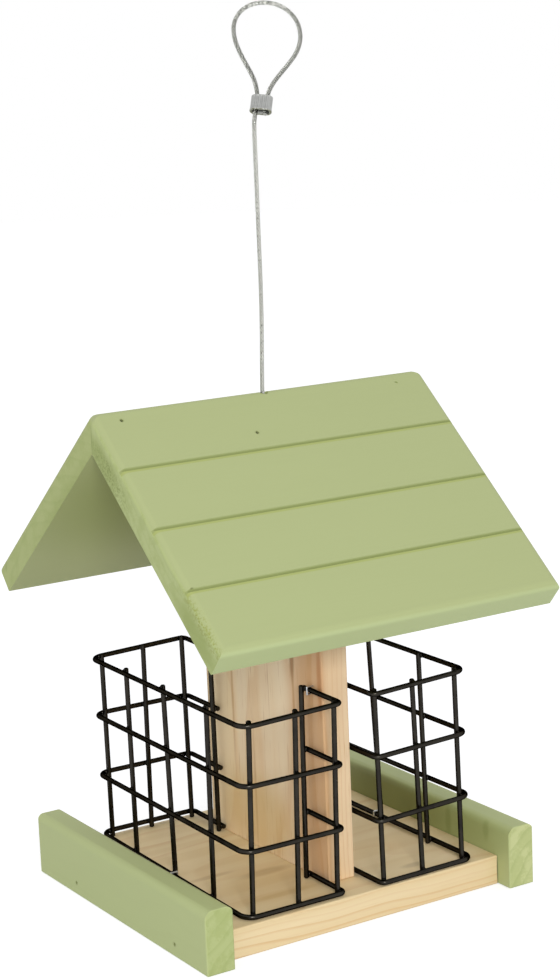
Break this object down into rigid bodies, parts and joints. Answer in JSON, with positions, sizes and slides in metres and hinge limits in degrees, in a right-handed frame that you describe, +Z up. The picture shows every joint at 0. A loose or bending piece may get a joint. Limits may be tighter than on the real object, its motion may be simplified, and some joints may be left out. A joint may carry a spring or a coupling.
{
  "type": "suet feeder",
  "caption": "Hanging suet feeder: wire cages on either side of a post board, on a base with end rails, under a pitched board roof that slides up its hanging cable.",
  "frame": {"origin": "centre of the underside of the base board", "axes": "+X along the ridge, across the cages; -Y is the front; +Z up along the post"},
  "size_m": [0.241, 0.2782, 0.5555],
  "materials": {
    "painted_pine": "sage green paint, satin",
    "natural_pine": "bare planed pine",
    "black_wire": "black powder coat, satin",
    "zinc_steel": "zinc plated",
    "cable_steel": "galvanised strand under a clear sleeve",
    "aluminium": "pressed, satin"
  },
  "bodies": {
    "feeder": {"base_board": "natural_pine", "left_rail": "painted_pine", "right_rail": "painted_pine", "rail_brads": "zinc_steel", "center_post": "natural_pine", "post_screws": "zinc_steel", "left_cage_bottom_ring": "black_wire", "left_cage_lower_ring": "black_wire", "left_cage_upper_ring": "black_wire", "left_cage_top_ring": "black_wire", "left_cage_uprights": "black_wire", "left_cage_staples": "zinc_steel", "right_cage_bottom_ring": "black_wire", "right_cage_lower_ring": "black_wire", "right_cage_upper_ring": "black_wire", "right_cage_top_ring": "black_wire", "right_cage_uprights": "black_wire", "right_cage_staples": "zinc_steel", "hanging_cable": "cable_steel", "crimp_ferrule": "aluminium", "cable_stop": "aluminium"},
    "roof": {"roof_front_board": "painted_pine", "roof_back_board": "painted_pine", "ridge_brads": "zinc_steel", "roof_left_block": "painted_pine", "roof_right_block": "painted_pine", "block_brads": "zinc_steel"}
  },
  "joints": [
    {"name": "roof_slide", "type": "slide", "parent": "feeder", "child": "roof", "axis": [0, 0, 1], "range_m": [0, 0.162]}
  ]
}
